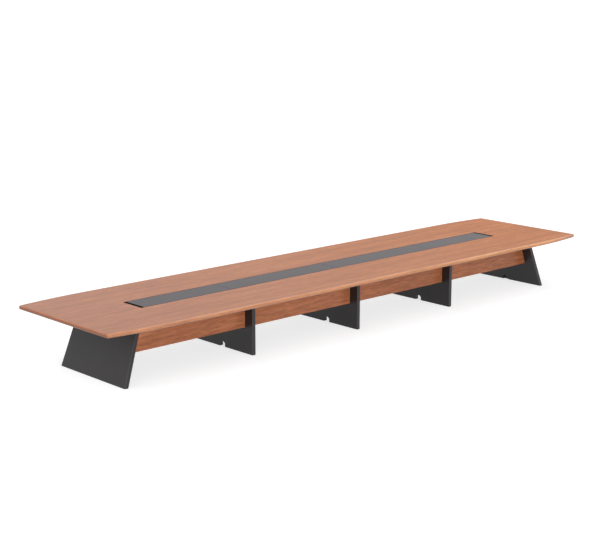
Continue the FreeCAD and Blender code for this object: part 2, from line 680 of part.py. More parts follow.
def feet():
    """Foot that screws up into an insert, two to a leg, shown screwed right in."""
    half_upright = "(leg_width / 2 - foot_inset)"
    half_leaning = "(end_leg_foot_width / 2 - foot_inset)"
    rows = [(f"{end}_end", signed(sign, LEAN_FOOT_X), half_leaning) for end, sign in ENDS]
    rows += [(name, x, half_upright) for name, x in UPRIGHT_LEGS]
    tube = drill("foot_insert", cylinder("insert_blank", "insert_radius", "insert_length", z=PAD_TOP),
                 [cylinder("insert_bore", "stud_radius + stud_play", "insert_length", z=PAD_TOP)])
    spots = []
    for name, x, half in rows:
        for side, sign in SIDES:
            y = signed(sign, half)
            label = f"{name}_foot_{side}"
            pad = cylinder(f"{label}_pad", "foot_pad_radius", "foot_pad_height", x, y, "foot_floor_gap")
            stud = cylinder(f"{label}_stud", "stud_radius", "stud_length", x, y, PAD_TOP)
            keep(label, fuse(label, [pad, stud]))
            spots.append(Placement(Vector(value(x), value(y), 0), Rotation()))
    copies("foot_inserts", [(tube, spots)])


# Brackets, plates, dowels and screws

def angle_bracket():
    """Bracket in the corner of the planes X = 0 and Y = 0, with one hole in each leg."""
    half = "(bracket_width / 2)"
    width = (f"(-{half})", half)
    legs = [box("bracket_leg_x", ("0", "bracket_leg"), ("0", "bracket_sheet"), width),
            box("bracket_leg_y", ("0", "bracket_sheet"), ("0", "bracket_leg"), width)]
    hole_x = cylinder("bracket_hole_x", "screw_radius + screw_hole_play", "bracket_sheet", "0",
                      "bracket_hole", along_x=True)
    hole_y = cylinder("bracket_hole_y", "screw_radius + screw_hole_play", "bracket_sheet")
    hole_y.Placement = Placement(Vector(), Rotation(Vector(1, 0, 0), -90))
    place(hole_y, "bracket_hole", "0", "0")
    return drill("angle_bracket", fuse("bracket_blank", legs), [hole_x, hole_y])


def bracket_frames():
    """Where the brackets sit: aprons to legs, aprons to the top, and upright legs to the top."""
    down, under, inner = Vector(0, 0, -1), value(UNDER), value(APRON_IN)
    heights = (value(f"{APRON_FOOT} + bracket_end_inset"), value(f"{UNDER} - bracket_end_inset"))
    frames = []
    for _, sign in SIDES:
        across = Vector(0, -sign, 0)
        for start, end in TROUGH_SPANS:
            for face, along in ((start, 1), (end, -1)):
                if TROUGH_END in face:
                    lean = Rotation(Vector(0, 1, 0), along * value("end_leg_lean"))
                    away = lean.multVec(Vector(along, 0, 0))
                    frames += [frame_at(Vector(-along * value(lean_inner(z)), sign * inner, z), away, across)
                               for z in heights]
                else:
                    frames += [frame_at(Vector(value(face), sign * inner, z), Vector(along, 0, 0), across)
                               for z in heights]
        for start, end in spans(lean_inner(UNDER), HALF_LEG):
            for x in (f"{start} + apron_bracket_inset", f"{end} - apron_bracket_inset"):
                frames.append(frame_at(Vector(value(x), sign * inner, under), down, across))
        for _, x in UPRIGHT_LEGS:
            for along in (-1, 1):
                corner = Vector(value(x) + along * value(HALF_LEG),
                                sign * value(f"{APRON_IN} - leg_bracket_inset"), under)
                frames.append(frame_at(corner, down, Vector(along, 0, 0)))
    return frames


def brackets(screw_spots):
    """Angle brackets and their two screws each."""
    frames = bracket_frames()
    sheet_face, hole = value("bracket_sheet"), value("bracket_hole")
    own = [screw_at(Vector(hole, sheet_face, 0), Vector(0, -1, 0)),
           screw_at(Vector(sheet_face, hole, 0), Vector(-1, 0, 0))]
    copies("angle_brackets", [(angle_bracket(), frames)])
    screw_spots += [frame.multiply(screw) for frame in frames for screw in own]


def seam_plates(screw_spots):
    """Flat plates under the seams between the side boards and the end boards."""
    half_x, half_y = "(plate_length / 2)", "(plate_width / 2)"
    blank = box("plate_blank", (f"(-{half_x})", half_x), (f"(-{half_y})", half_y), ("(-bracket_sheet)", "0"))
    holes = [(sx, sy) for sx in (-1, 1) for sy in (-1, 1)]
    step_x, step_y = f"({half_x} - plate_hole_inset)", f"({half_y} - plate_hole_inset)"
    tools = [cylinder(f"plate_hole_{number}", "screw_radius + screw_hole_play", "bracket_sheet",
                      signed(sx, step_x), signed(sy, step_y), "(-bracket_sheet)")
             for number, (sx, sy) in enumerate(holes, 1)]
    plate = drill("seam_plate", blank, tools)
    rows = (f"{APRON_IN} - leg_bracket_inset", f"{APRON_OUT} + plate_outer_offset")
    centres = [Vector(end * value(OPENING_END), side * value(row), value(UNDER))
               for _, end in ENDS for _, side in SIDES for row in rows]
    copies("seam_plates", [(plate, [Placement(centre, Rotation()) for centre in centres])])
    drop = -value("bracket_sheet")
    screw_spots += [screw_at(centre + Vector(sx * value(step_x), sy * value(step_y), drop), Vector(0, 0, 1))
                    for centre in centres for sx, sy in holes]


def trough_screws(screw_spots):
    """Screws up through the trough flanges into the top, two pairs and a middle pair to a bay."""
    y = value(f"{TROUGH_OUT} + trough_flange / 2")
    z = value(f"{UNDER} - trough_sheet")
    for start, end in TROUGH_SPANS:
        for x in (f"{start} + flange_screw_inset", f"({start} + {end}) / 2", f"{end} - flange_screw_inset"):
            screw_spots += [screw_at(Vector(value(x), sign * y, z), Vector(0, 0, 1)) for _, sign in SIDES]


def dowels():
    """Dowels across the seams of the top, and up from the legs into the top."""
    dowel = cylinder("dowel", "dowel_radius", "dowel_length", z="(-dowel_length / 2)")
    doc.recompute()
    level = Rotation(Vector(0, 1, 0), 90)
    seams = [value(start) for start, _ in BOARD_SPANS] + [value(OPENING_END)]
    seam_rows = (f"{OPENING_SIDE} + seam_dowel_inner", f"{BOARD_SIDE} - seam_dowel_outer")
    middle = value("table_height - board_thickness / 2")
    spots = [Placement(Vector(x, sign * value(row), middle), level)
             for x in seams for _, sign in SIDES for row in seam_rows]
    leg_z = value(f"{UNDER} + dowel_in_board - dowel_length / 2")
    leg_y = value("leg_width / 2 - leg_dowel_inset")
    top_middle = f"({lean_inner(UNDER)} + {LEAN_FLAT} / 2)"
    leg_x = [value(signed(sign, top_middle)) for _, sign in ENDS]
    leg_x += [value(f"{x} + {step} * leg_dowel_offset") for _, x in UPRIGHT_LEGS for step in (-1, 1)]
    spots += [Placement(Vector(x, sign * leg_y, leg_z), Rotation()) for x in leg_x for _, sign in SIDES]
    copies("wood_dowels", [(dowel, spots)])


# Build, check and export

def check_model():
    """Stop if any object failed, any pocket cut nothing, or any piece has no sound solid."""
    for part in doc.Objects:
        if "Invalid" in part.State or "Error" in part.State:
            raise RuntimeError(f"{part.Label} failed: {part.State}")
    for base, pocket in pockets:
        if base.Shape.Volume - pocket.Shape.Volume < 1:
            raise RuntimeError(f"{pocket.Label} cuts nothing")
    for part in nodes:
        if part.Shape.isNull() or not part.Shape.isValid() or not part.Shape.Solids:
            raise RuntimeError(f"{part.Label} has no sound solid")


def main():
    """Build every piece, check the document and write one STEP file to a node."""
    fill_sheet()
    top_boards()
    edge_strips()
    upright_legs()
    leaning_legs()
    aprons()
    troughs()
    lid_rails()
    lids()
    screw = wood_screw()
    doc.recompute()
    screw_spots = hinges(screw)
    feet()
    brackets(screw_spots)
    seam_plates(screw_spots)
    trough_screws(screw_spots)
    copies("wood_screws", [(screw, screw_spots)])
    dowels()
    doc.recompute()
    check_model()
    os.makedirs("parts", exist_ok=True)
    for part in nodes:
        part.Shape.exportStep(os.path.join("parts", f"{part.Label}.step"))
        print(part.Label, len(part.Shape.Solids), round(part.Shape.Volume / 1e6, 4))
    print(len(nodes), "nodes")


main()
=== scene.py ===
"""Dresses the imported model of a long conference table.

A red-brown veneered top with curved-in ends and a rounded rim stands on five dark grey panel legs. Aprons
run from leg to leg, and a row of grey lids closes a cable channel down the middle of the top. Metres, in
the part's own frame: +X along the table, +Y to the hinge side of the lids ("far"), +Z up from the floor.
"""
import logging
import math
from collections.abc import Callable, Sequence
from dataclasses import dataclass
from enum import Enum

import bmesh
import bpy
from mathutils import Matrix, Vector


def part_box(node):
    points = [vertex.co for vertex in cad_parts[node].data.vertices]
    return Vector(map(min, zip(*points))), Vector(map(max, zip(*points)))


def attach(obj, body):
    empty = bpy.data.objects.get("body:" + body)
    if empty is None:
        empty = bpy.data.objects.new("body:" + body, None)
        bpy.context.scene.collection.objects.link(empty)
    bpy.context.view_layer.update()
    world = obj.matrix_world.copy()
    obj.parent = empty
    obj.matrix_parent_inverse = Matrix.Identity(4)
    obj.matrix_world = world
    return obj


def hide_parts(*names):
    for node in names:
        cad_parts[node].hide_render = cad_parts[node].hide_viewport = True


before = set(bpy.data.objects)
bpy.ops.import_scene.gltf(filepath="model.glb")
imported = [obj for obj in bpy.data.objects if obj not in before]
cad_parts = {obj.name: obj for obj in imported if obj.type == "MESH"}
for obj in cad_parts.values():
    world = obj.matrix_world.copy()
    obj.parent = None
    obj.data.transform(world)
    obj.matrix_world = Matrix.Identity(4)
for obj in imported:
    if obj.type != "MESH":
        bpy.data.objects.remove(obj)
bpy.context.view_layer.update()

LOG = logging.getLogger("conference_table")
Piece = bpy.types.Object
Material = bpy.types.Material
Tree = bpy.types.NodeTree
Socket = bpy.types.NodeSocket
Edge = bmesh.types.BMEdge
Face = bmesh.types.BMFace
Colour = tuple[float, float, float]
Point = tuple[float, float, float]
Pair = tuple[float, float]
Drift = tuple[tuple[float, Colour], ...]

TABLE_BODY = "table"
HALF_LENGTH = 4.128
BOARD_UNDERSIDE = 0.725
LEG_LEAN = math.radians(19.3)
NEAR_ENOUGH = 1e-4
SHARP_ANGLE = math.radians(40)
SMOOTH_ANGLE = math.radians(50)
FLAT_WEIGHT = 100
ORIGIN: Point = (0.0, 0.0, 0.0)
EVEN: Colour = (1.0, 1.0, 1.0)

# Share of a face's normal along an axis, below and above which it counts as edge-on and face-on
EDGE_ON = 0.1
FACE_ON = 0.9

# Ranges of a noise value that the finishes use
MID_NOISE: Pair = (0.3, 0.7)
CLOUD_NOISE: Pair = (0.35, 0.65)
FLECK_NOISE: Pair = (0.52, 0.66)
PORE_NOISE: Pair = (0.58, 0.68)
PORE_SLOPE: Pair = (0.58, 0.72)
BAND_NOISE = (0.32, 0.5, 0.68)


class Kind(Enum):
    """Sort of mesh element; the value names a mesh's list of them."""

    VERT = "verts"
    EDGE = "edges"
    FACE = "faces"


class Grain(Enum):
    """Axis that the grain of a finish runs along."""

    LENGTHWISE = 0
    CROSSWISE = 1
    UPRIGHT = 2


class Spelled(Enum):
    """Choice whose name also stands in the names of CAD nodes."""

    @property
    def word(self) -> str:
        """The name as the nodes spell it."""
        return self.name.lower()


class Side(Spelled):
    """Long side of the table; the value is the sign of its Y."""

    NEAR = -1
    FAR = 1


class End(Spelled):
    """End of the table; the value is the sign of its X."""

    LEFT = -1
    RIGHT = 1

    @property
    def turn(self) -> float:
        """Angle about the Z axis from the right end to this one."""
        return 0.0 if self is End.RIGHT else math.pi


BAYS = (1, 2, 3, 4)
UPRIGHT_LEGS = ("left_mid", "centre", "right_mid")
OUTER_BAYS = {BAYS[0]: End.LEFT, BAYS[-1]: End.RIGHT}


# Modelling with operators

def lay_down() -> None:
    """Leave edit mode and deselect everything."""
    if bpy.context.mode != "OBJECT":
        bpy.ops.object.mode_set(mode="OBJECT")
    bpy.ops.object.select_all(action="DESELECT")


def take_up(piece: Piece) -> None:
    """Make a piece the only selected object and the active one.

    Args:
        piece: the piece.
    """
    lay_down()
    piece.select_set(True)
    bpy.context.view_layer.objects.active = piece


def open_mesh(piece: Piece) -> Piece:
    """Take up a piece and enter edit mode.

    Args:
        piece: the piece.

    Returns:
        The same piece.
    """
    take_up(piece)
    bpy.ops.object.mode_set(mode="EDIT")
    return piece


def settle(name: str) -> Piece:
    """Apply the place, turn and size of the active object and give it a name.

    Args:
        name: name of the object and of its mesh.

    Returns:
        The object.
    """
    bpy.ops.object.transform_apply(location=True, rotation=True, scale=True)
    piece = bpy.context.object
    piece.name = name
    piece.data.name = name
    return piece


def block(name: str, low: Sequence[float], high: Sequence[float]) -> Piece:
    """Start a piece as a block between two corners.

    Args:
        name: name of the piece.
        low: lowest corner.
        high: highest corner.

    Returns:
        The piece, with its mesh open.
    """
    lay_down()
    start, end = Vector(low), Vector(high)
    bpy.ops.mesh.primitive_cube_add(size=1, location=(start + end) / 2)
    bpy.context.object.scale = end - start
    return open_mesh(settle(name))


def flat(name: str, start: float, end: float, half_width: float, level: float) -> Piece:
    """Start a piece as a level sheet without thickness, centred over the X axis.

    Args:
        name: name of the piece.
        start: lowest X.
        end: highest X.
        half_width: half its width along Y.
        level: its height.

    Returns:
        The piece, with its mesh open.
    """
    lay_down()
    bpy.ops.mesh.primitive_plane_add(size=1, location=((start + end) / 2, 0, level))
    bpy.context.object.scale = (end - start, 2 * half_width, 1)
    return open_mesh(settle(name))


def rod(name: str, radius: float, low: Sequence[float], length: float, sides: int,
        turn: Point = ORIGIN) -> Piece:
    """Start a piece as an upright round bar, which may be turned about the middle of its foot.

    Args:
        name: name of the piece.
        radius: radius of the bar.
        low: middle of its lower face.
        length: its length.
        sides: number of its sides.
        turn: Euler angles.

    Returns:
        The piece, with its mesh open.
    """
    lay_down()
    bpy.ops.mesh.primitive_cylinder_add(vertices=sides, radius=radius, depth=length,
                                        location=(0, 0, length / 2))
    bar = settle(name)
    bar.location = low
    bar.rotation_euler = turn
    return open_mesh(settle(name))


def pick(kind: Kind, wanted: Callable[..., bool]) -> None:
    """Select the elements of the open mesh that a test picks out, and no others.

    Args:
        kind: verts, edges or faces.
        wanted: test of one element.
    """
    bpy.ops.mesh.select_mode(type=kind.name)
    bpy.ops.mesh.select_all(action="DESELECT")
    mesh = bmesh.from_edit_mesh(bpy.context.object.data)
    for element in getattr(mesh, kind.value):
        if wanted(element):
            element.select_set(True)
    mesh.select_flush_mode()
    bmesh.update_edit_mesh(bpy.context.object.data)


def pick_all() -> None:
    """Select the whole open mesh."""
    bpy.ops.mesh.select_all(action="SELECT")


def bevel(wanted: Callable[[Edge], bool], size: float, segments: int, clamp: bool = False) -> None:
    """Round the edges of the open mesh that a test picks out."""
    pick(Kind.EDGE, wanted)
    bpy.ops.mesh.bevel(offset=size, segments=segments, affect="EDGES", clamp_overlap=clamp)


def draw_out(x: float, y: float, z: float) -> None:
    """Extrude what is picked of the open mesh by a move."""
    bpy.ops.mesh.extrude_region_move(TRANSFORM_OT_translate={"value": (x, y, z)})


def face_out() -> None:
    """Turn all faces of the open mesh to the same side, which is outwards where it is closed."""
    pick_all()
    bpy.ops.mesh.normals_make_consistent(inside=False)


def step_cap(spot: Point, inset: float, rise: float) -> None:
    """Inset the level face of the open mesh whose middle is at a spot, and draw it up.

    Args:
        spot: middle of the face.
        inset: how far to inset it, or 0 to keep its size.
        rise: how far to draw it up, or 0 to leave it level.
    """
    pick(Kind.FACE, lambda face: face.normal.z > FACE_ON
         and (face.calc_center_median() - Vector(spot)).length < NEAR_ENOUGH)
    if inset:
        bpy.ops.mesh.inset(thickness=inset, depth=0)
    if rise:
        draw_out(0, 0, rise)


def middle(edge: Edge) -> Vector:
    """Point half way along an edge."""
    return (edge.verts[0].co + edge.verts[1].co) / 2


def rises(edge: Edge) -> bool:
    """Whether an edge goes from one height to another."""
    return abs(edge.verts[0].co.z - edge.verts[1].co.z) > NEAR_ENOUGH


def is_sharp(edge: Edge) -> bool:
    """Whether the two faces at an edge meet at a clear angle."""
    return len(edge.link_faces) == 2 and edge.calc_face_angle(0.0) > SHARP_ANGLE


def is_wall(face: Face) -> bool:
    """Whether a face stands upright."""
    return abs(face.normal.z) < EDGE_ON


def near(first: float, second: float) -> bool:
    """Whether two lengths agree within a tenth of a millimetre."""
    return abs(first - second) < NEAR_ENOUGH


def modify(piece: Piece, kind: str, **settings: float | str | Piece) -> None:
    """Change a piece by a modifier.

    Args:
        piece: the piece.
        kind: type of the modifier.
        settings: its settings by name.
    """
    take_up(piece)
    modifier = piece.modifiers.new(kind, kind)
    for name, value in settings.items():
        setattr(modifier, name, value)
    bpy.ops.object.modifier_apply(modifier=modifier.name)


def carve(piece: Piece, cutters: Sequence[Piece]) -> None:
    """Take cutters out of a piece, and throw them away.

    Args:
        piece: the piece that is cut.
        cutters: closed shapes to take out.
    """
    for cutter in cutters:
        modify(piece, "BOOLEAN", operation="DIFFERENCE", solver="EXACT", object=cutter)
        bpy.data.objects.remove(cutter)


def copy_of(piece: Piece, name: str, move: Point = ORIGIN, turn: float = 0.0) -> Piece:
    """Copy a piece with its own mesh, turned about the Z axis and then moved.

    Args:
        piece: the piece to copy.
        name: name of the copy.
        move: how far the copy moves.
        turn: angle about the Z axis.

    Returns:
        The copy.
    """
    take_up(piece)
    bpy.ops.object.duplicate(linked=False)
    bpy.context.object.rotation_euler = (0, 0, turn)
    bpy.context.object.location = move
    return settle(name)


def weld(name: str, pieces: Sequence[Piece]) -> Piece:
    """Join several pieces into one object, each still a shell of its own.

    Args:
        name: name of the joined piece.
        pieces: what to join.

    Returns:
        The joined piece.
    """
    take_up(pieces[0])
    for piece in pieces:
        piece.select_set(True)
    bpy.ops.object.join()
    return settle(name)


def deliver(piece: Piece, finishes: Sequence[Material], nodes: Sequence[str],
            body: str = TABLE_BODY, second: Callable[[Face], bool] | None = None) -> None:
    """Shade a finished piece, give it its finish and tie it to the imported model.

    Args:
        piece: the finished piece.
        finishes: its material, or two of them.
        nodes: CAD nodes that it stands for.
        body: body that it rides on.
        second: test of a face that takes the second material.
    """
    take_up(piece)
    bpy.ops.object.shade_smooth_by_angle(angle=SMOOTH_ANGLE)
    modify(piece, "WEIGHTED_NORMAL", weight=FLAT_WEIGHT, keep_sharp=True)
    for finish in finishes:
        piece.data.materials.append(finish)
    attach(piece, body)
    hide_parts(*nodes)
    LOG.info("%s: %d faces, rides on %s", piece.name, len(piece.data.polygons), body)
    if second is not None:
        open_mesh(piece)
        pick(Kind.FACE, second)
        piece.active_material_index = 1
        bpy.ops.object.material_slot_assign()
        lay_down()


def repaint(node: str, finish: Material) -> None:
    """Give a CAD node, whose shape is right as it is, a better material.

    Args:
        node: name of the node.
        finish: its new material.
    """
    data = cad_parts[node].data
    data.materials.clear()
    data.materials.append(finish)
    LOG.info("%s: CAD shape kept, finish %s", node, finish.name)


# Finishes

def add_node(tree: Tree, kind: str, **inputs: float | Sequence[float] | Socket) -> bpy.types.Node:
    """Add a shader node to a tree, and set or link some of its inputs.

    Args:
        tree: the node tree.
        kind: type of the node, without the words that all types start with.
        inputs: value or socket for each input by its name, with an underscore for a space.

    Returns:
        The node.
    """
    node = tree.nodes.new(f"ShaderNode{kind}")
    for name, value in inputs.items():
        target = node.inputs[name.replace("_", " ")]
        if isinstance(value, Socket):
            tree.links.new(value, target)
        else:
            target.default_value = value
    return node


def combined(tree: Tree, kind: str, operation: str, sources: Sequence[Socket]) -> Socket:
    """Run several values or colours together, one after the other.

    Args:
        tree: the node tree.
        kind: type of the nodes that do it.
        operation: what each node does with its first two inputs.
        sources: the values or colours.

    Returns:
        The result.
    """
    result = sources[0]
    for source in sources[1:]:
        node = add_node(tree, kind)
        node.operation = operation
        tree.links.new(result, node.inputs[0])
        tree.links.new(source, node.inputs[1])
        result = node.outputs[0]
    return result


def scaled(colour: Colour, factor: float) -> Colour:
    """A colour with every channel times a factor."""
    return tuple(part * factor for part in colour)


@dataclass(frozen=True)
class Figure:
    """Noise with its own cycles to the metre along and across the grain."""

    along: float
    across: float
    detail: float = 2.0
    blur: float = 0.5
    twist: float = 0.0
    shift: Point = ORIGIN


FLECKS = Figure(9.0, 170.0, twist=0.15, shift=(0.7, 5.3, 2.9))
FIBRES = Figure(5.0, 420.0, detail=4.0, blur=0.7)
PORES = Figure(36.0, 1100.0, detail=1.0)
PAINT_CLOUD = Figure(2.6, 2.6, detail=3.0, blur=0.55, twist=0.4)
ROLLING_MARKS = Figure(30.0, 900.0, blur=0.6)
PLATING_CLOUD = Figure(60.0, 60.0, detail=3.0, blur=0.6, twist=0.6)


class NodeBench:
    """Node tree of one material, with short calls that add and join its nodes."""

    def __init__(self, name: str, specular: float = 0.5) -> None:
        """Start a material.

        Args:
            name: name of the material.
            specular: specular level.
        """
        self.material = bpy.data.materials.new(name)
        self.material.use_nodes = True
        self.tree = self.material.node_tree
        self.shader = self.tree.nodes["Principled BSDF"]
        self.shader.inputs["Specular IOR Level"].default_value = specular
        self.place = add_node(self.tree, "TexCoord").outputs["Object"]
        self.length = add_node(self.tree, "SeparateXYZ", Vector=self.place).outputs["X"]

    def use(self, source: Socket, name: str) -> None:
        """Link a value, a colour or a normal to the shader's input of that name."""
        self.tree.links.new(source, self.shader.inputs[name])

    def noise(self, figure: Figure, grain: Grain = Grain.LENGTHWISE) -> Socket:
        """Noise on object coordinates.

        Args:
            figure: what the noise is like.
            grain: axis that its grain runs along.

        Returns:
            The noise, about 0.5 in the mean.
        """
        scale = [figure.across] * 3
        scale[grain.value] = figure.along
        mapping = add_node(self.tree, "Mapping", Vector=self.place, Scale=scale, Location=figure.shift)
        noise = add_node(self.tree, "TexNoise", Vector=mapping.outputs["Vector"], Scale=1.0,
                         Detail=figure.detail, Roughness=figure.blur, Distortion=figure.twist)
        return noise.outputs["Fac"]

    def span(self, source: Socket, low: float, high: float, start: float, end: float) -> Socket:
        """Value that goes from start to end, and no further, as the source goes from low to high."""
        return add_node(self.tree, "MapRange", Value=source, From_Min=low, From_Max=high, To_Min=start,
                        To_Max=end).outputs["Result"]

    def waver(self, noise: Socket, share: float, mean: float = 1.0) -> Socket:
        """Value that a noise moves from a share below its mean to a share above it."""
        return self.span(noise, *MID_NOISE, mean - share, mean + share)

    def ramp(self, source: Socket, stops: Drift) -> Socket:
        """Colour that follows a value through a row of stops.

        Args:
            source: value to follow.
            stops: place and colour of each stop, two or more.

        Returns:
            The colour.
        """
        node = add_node(self.tree, "ValToRGB", Fac=source)
        elements = node.color_ramp.elements
        while len(elements) < len(stops):
            elements.new(1.0)
        for element, (place, colour) in zip(elements, stops):
            element.position = place
            element.color = (*colour, 1.0)
        return node.outputs["Color"]

    def paint(self, *tones: Socket) -> None:
        """Use the product of colours and shades, channel by channel, as the base colour."""
        self.use(combined(self.tree, "VectorMath", "MULTIPLY", tones), "Base Color")

    def gloss(self, *values: Socket) -> None:
        """Use the product of values as the roughness."""
        self.use(combined(self.tree, "Math", "MULTIPLY", values), "Roughness")

    def relief(self, height: Socket, depth: float, strength: float) -> None:
        """Use a height from 0 to 1 as the bump of the surface, with so many metres from 0 to 1."""
        bump = add_node(self.tree, "Bump", Height=height, Distance=depth, Strength=strength)
        self.use(bump.outputs["Normal"], "Normal")


@dataclass(frozen=True)
class Veneer:
    """Open-pored wood under a satin lacquer, with bands, streaks, flecks, fibres and pores along its grain.

    Its tone may drift from the table's left end to the right as painted light and shade, and its lacquer's
    gloss too.
    """

    name: str
    tones: tuple[Colour, Colour, Colour]
    bands: Figure
    streaks: Figure
    contrast: float
    fleck: float
    roughness: float
    specular: float
    grain: Grain = Grain.LENGTHWISE
    # Tint from the left end to the right: painted light and shade
    drift: Drift = ((0.0, EVEN), (1.0, EVEN))
    dulling: float = 0.0
    fibre: float = 0.11
    fibre_gloss: float = 0.12
    pore: float = 0.36
    pore_depth: float = 0.0001
    pore_strength: float = 0.35

    def make(self) -> Material:
        """Build the material.

        Returns:
            The material.
        """
        bench = NodeBench(self.name, self.specular)
        figures = (self.bands, self.streaks, FLECKS, FIBRES, PORES)
        bands, streaks, flecks, fibres, pores = [bench.noise(figure, self.grain) for figure in figures]
        # The tint that the drift ramp gives along the table is painted light and shade
        along = bench.span(bench.length, -HALF_LENGTH, HALF_LENGTH, 0.0, 1.0)
        bench.paint(bench.ramp(bands, tuple(zip(BAND_NOISE, self.tones))),
                    bench.ramp(along, self.drift),
                    bench.waver(streaks, self.contrast),
                    bench.waver(fibres, self.fibre),
                    bench.span(flecks, *FLECK_NOISE, 1.0, 1 - self.fleck),
                    bench.span(pores, *PORE_NOISE, 1.0, 1 - self.pore))
        bench.gloss(bench.span(along, 0.0, 1.0, self.roughness, self.roughness + self.dulling),
                    bench.waver(fibres, self.fibre_gloss))
        bench.relief(bench.span(pores, *PORE_SLOPE, 1.0, 0.0), self.pore_depth, self.pore_strength)
        return bench.material


@dataclass(frozen=True)
class Coating:
    """Sprayed or moulded coat of one hue, with a slow mottle and a fine skin."""

    name: str
    colour: Colour
    mottle: float
    skin: float
    depth: float
    roughness: float
    specular: float = 0.5
    skin_shade: float = 0.04
    skin_strength: float = 0.4
    gloss_drift: float = 0.01

    def make(self) -> Material:
        """Build the material.

        Returns:
            The material.
        """
        bench = NodeBench(self.name, self.specular)
        cloud = bench.noise(PAINT_CLOUD)
        skin = bench.noise(Figure(self.skin, self.skin))
        tones = (scaled(self.colour, 1 - self.mottle), scaled(self.colour, 1 + self.mottle))
        bench.paint(bench.ramp(cloud, tuple(zip(CLOUD_NOISE, tones))), bench.waver(skin, self.skin_shade))
        bench.gloss(bench.waver(cloud, self.gloss_drift, self.roughness))
        bench.relief(skin, self.depth, self.skin_strength)
        return bench.material


@dataclass(frozen=True)
class PlatedSteel:
    """Zinc-plated steel with rolling marks along one axis and cloudy plating."""

    name: str
    colour: Colour
    roughness: float
    grain: Grain = Grain.LENGTHWISE
    dull_share: float = 0.86
    mark_shades: Pair = (0.94, 1.04)
    mark_depth: float = 0.00003
    mark_strength: float = 0.3
    gloss_drift: Pair = (-0.08, 0.1)

    def make(self) -> Material:
        """Build the material.

        Returns:
            The material.
        """
        bench = NodeBench(self.name)
        bench.shader.inputs["Metallic"].default_value = 1.0
        marks = bench.noise(ROLLING_MARKS, self.grain)
        cloud = bench.noise(PLATING_CLOUD)
        tones = (scaled(self.colour, self.dull_share), self.colour)
        bench.paint(bench.ramp(cloud, tuple(zip(MID_NOISE, tones))),
                    bench.span(marks, *MID_NOISE, *self.mark_shades))
        rough = [self.roughness + drift for drift in self.gloss_drift]
        bench.gloss(bench.span(cloud, *MID_NOISE, *rough))
        bench.relief(marks, self.mark_depth, self.mark_strength)
        return bench.material


class Finishes:
    """Every finish of the table, each made once."""

    def __init__(self) -> None:
        """Make the materials."""
        self.make_woods()
        self.make_coats()
        self.make_steels()

    def make_woods(self) -> None:
        """Make the veneers and the plain wood."""
        brown = ((0.376, 0.116, 0.037), (0.428, 0.137, 0.046), (0.480, 0.161, 0.058))
        deep = ((0.394, 0.130, 0.055), (0.441, 0.153, 0.067), (0.488, 0.178, 0.081))
        golden_with_painted_highlight = ((0.470, 0.180, 0.082), (0.525, 0.212, 0.102), (0.580, 0.246, 0.124))
        beech = ((0.46, 0.29, 0.155), (0.53, 0.35, 0.2), (0.6, 0.41, 0.25))
        satin = {"roughness": 0.315, "specular": 0.27}
        glossy = {"roughness": 0.28, "specular": 0.5}
        bare = {"roughness": 0.62, "specular": 0.4}
        streaky = {"detail": 3.0, "blur": 0.6, "shift": (3.1, 1.7, 0.4)}
        wide = {"bands": Figure(0.6, 8.0, blur=0.55, twist=0.3),
                "streaks": Figure(4.0, 26.0, twist=0.3, **streaky)}
        narrow = {"bands": Figure(0.9, 15.0, blur=0.55, twist=0.4),
                  "streaks": Figure(4.0, 50.0, twist=0.4, **streaky)}
        front = {**narrow, "contrast": 0.26, "fleck": 0.3}
        edge = {**narrow, "contrast": 0.13, "fleck": 0.18}
        # Top: paler and yellower at the right end, painted light; its lacquer also grows rougher to the right
        self.top = Veneer("top_veneer", brown, **wide, contrast=0.15, fleck=0.22, **satin,
                          drift=((0.0, EVEN), (1.0, (1.22, 1.28, 1.12))), dulling=0.20).make()
        # Rim: lighter and more golden than the top as a painted highlight, more so to the right, with painted
        # shade at the right tip
        self.rim = Veneer("rim_veneer", golden_with_painted_highlight, **edge, **glossy,
                          drift=((0.0, EVEN), (0.9, (1.22, 1.27, 1.0)), (1.0, (0.92, 0.92, 0.78)))).make()
        # End runs of the rim: darker than the side rim, painted shade
        self.end_rim = Veneer("end_rim_veneer", deep, **edge, **satin, grain=Grain.CROSSWISE).make()
        # Aprons: darker towards the right end, painted shade
        self.apron = Veneer("apron_veneer", deep, **front, **satin,
                            drift=((0.0, EVEN), (1.0, (0.82, 0.80, 0.78)))).make()
        self.rail = Veneer("rail_wood", beech, **front, **bare).make()
        self.dowel = Veneer("dowel_wood", beech, **front, **bare).make()

    def make_coats(self) -> None:
        """Make the lacquers, the painted highlight of the legs' edges, laminates, paints and the soft sole of
        a foot.
        """
        grey = (0.031, 0.0275, 0.0295)
        edge_highlight_grey = (0.064, 0.059, 0.062)
        plum_grey = (0.036, 0.027, 0.033)
        self.leg = Coating("leg_lacquer", grey, 0.06, 700.0, 0.00006, 0.38, 0.34).make()
        # Lighter grey for the legs' rounded long edges: a painted highlight
        self.leg_arris = Coating("leg_arris_lacquer", edge_highlight_grey, 0.12, 700.0, 0.00006, 0.36, 0.34).make()
        self.lid = Coating("lid_laminate", plum_grey, 0.06, 1100.0, 0.00005, 0.36, 0.22).make()
        self.lid_edge = Coating("lid_edge_band", (0.02, 0.019, 0.02), 0.04, 600.0, 0.00004, 0.4).make()
        self.trough = Coating("trough_paint", (0.022, 0.022, 0.023), 0.06, 1600.0, 0.0001, 0.55).make()
        self.sole = Coating("foot_sole", (0.018, 0.018, 0.018), 0.08, 500.0, 0.0001, 0.7).make()

    def make_steels(self) -> None:
        """Make the metals."""
        self.steel = PlatedSteel("plated_steel", (0.62, 0.62, 0.6), 0.34).make()
        self.hinge_steel = PlatedSteel("hinge_steel", (0.07, 0.07, 0.072), 0.42).make()
        self.pin_steel = PlatedSteel("pin_steel", (0.12, 0.12, 0.125), 0.3).make()
        self.stud_steel = PlatedSteel("stud_steel", (0.6, 0.59, 0.55), 0.3, Grain.UPRIGHT).make()


# The table

